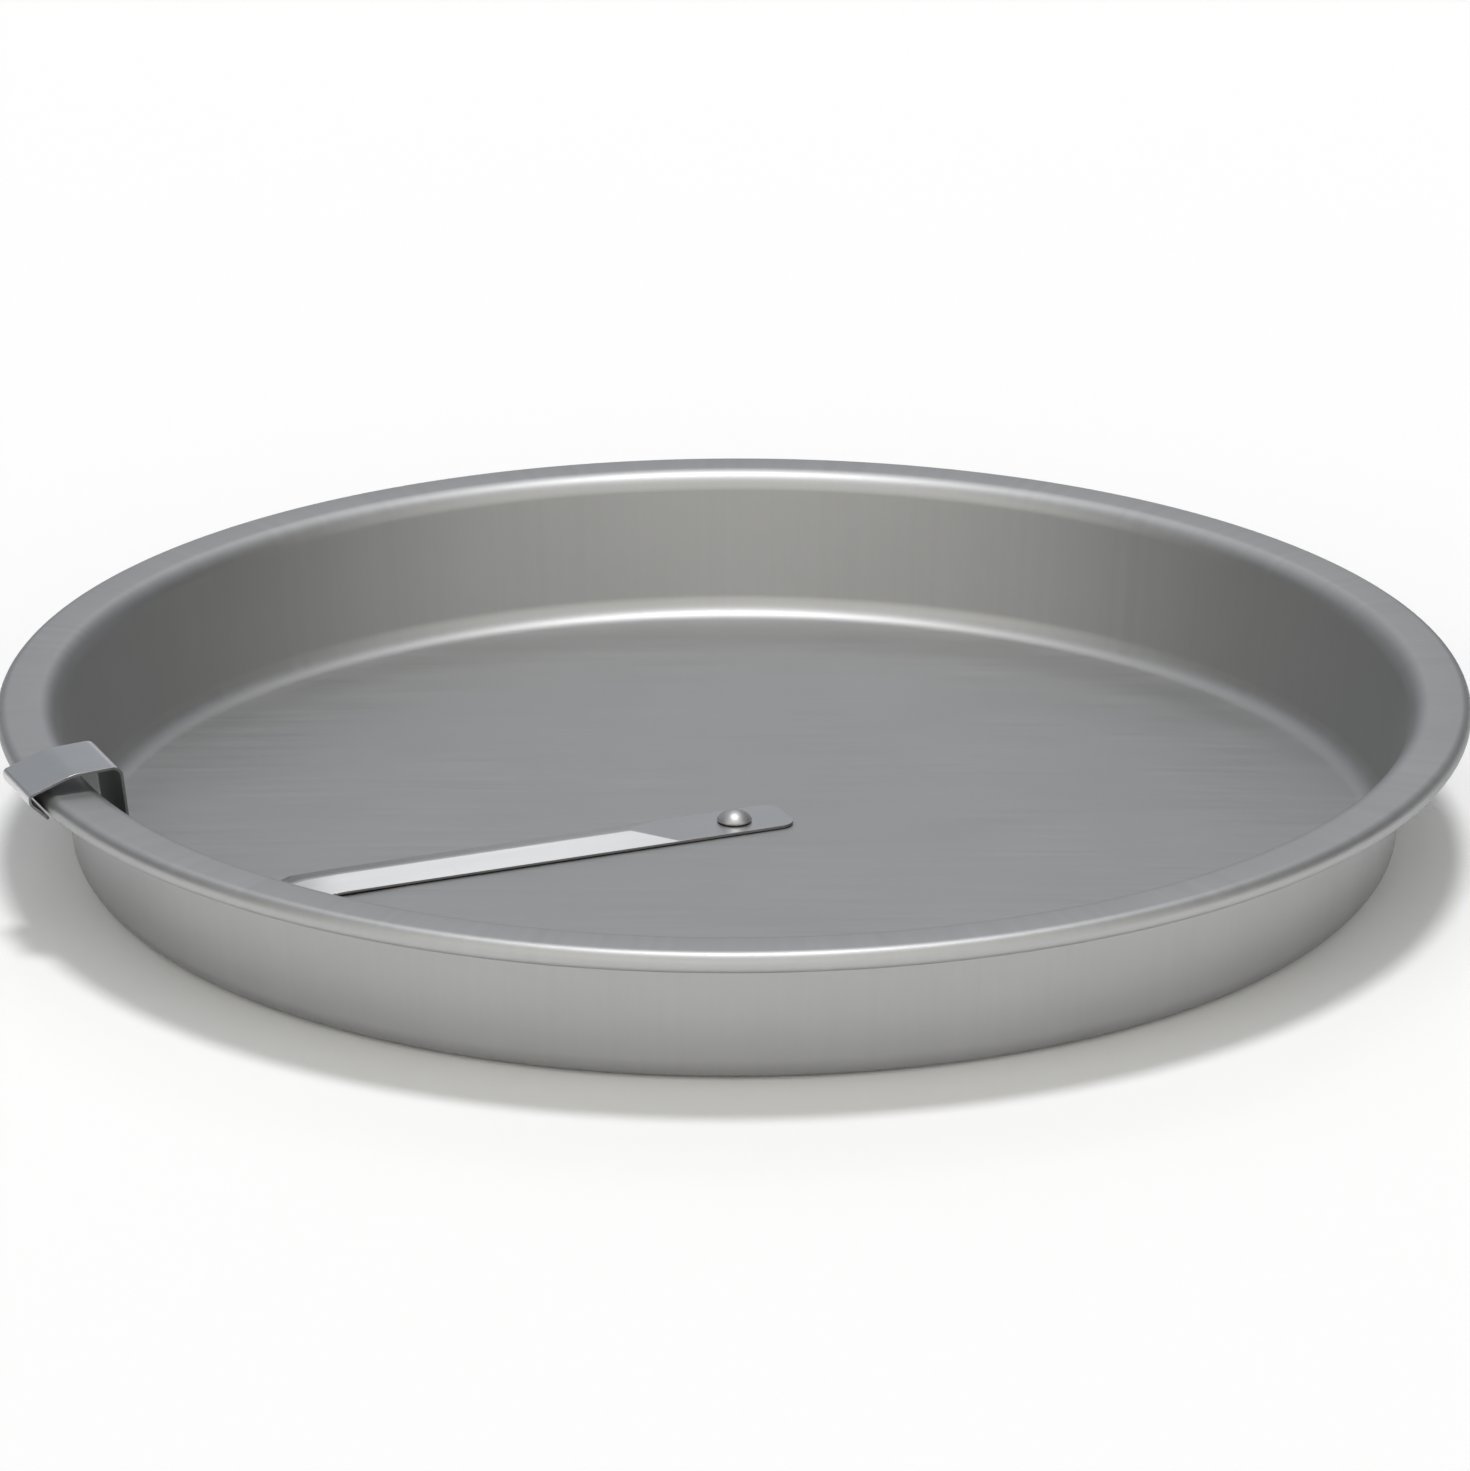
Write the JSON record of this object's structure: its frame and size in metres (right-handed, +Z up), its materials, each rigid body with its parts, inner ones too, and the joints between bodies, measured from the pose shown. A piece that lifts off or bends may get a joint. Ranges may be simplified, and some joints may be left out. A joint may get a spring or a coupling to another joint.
{
  "type": "butter cake pan",
  "caption": "Shallow round steel cake pan with a tapered wall, flat flange and curled rim; a riveted cutter arm turns along floor and wall to free the cake.",
  "frame": {"origin": "on the table under the middle of the pan, below the rivet", "axes": "+Z up out of the pan's mouth, -Y towards the front view; at rest the arm lies at -157.25 degrees from +X"},
  "size_m": [0.26, 0.26, 0.0317],
  "materials": {
    "pan_steel": "satin silver-grey sheet",
    "rivet_steel": "smooth domed head",
    "strip_steel": "satin strip"
  },
  "bodies": {
    "pan": {"pan_body": "pan_steel", "pivot_rivet": "rivet_steel"},
    "cutter": {"cutter_arm": "strip_steel"}
  },
  "joints": [
    {"name": "cutter_turn", "type": "hinge", "parent": "pan", "child": "cutter", "pos_m": [0, 0, 0.002], "axis": [0, 0, 1], "continuous": true}
  ]
}
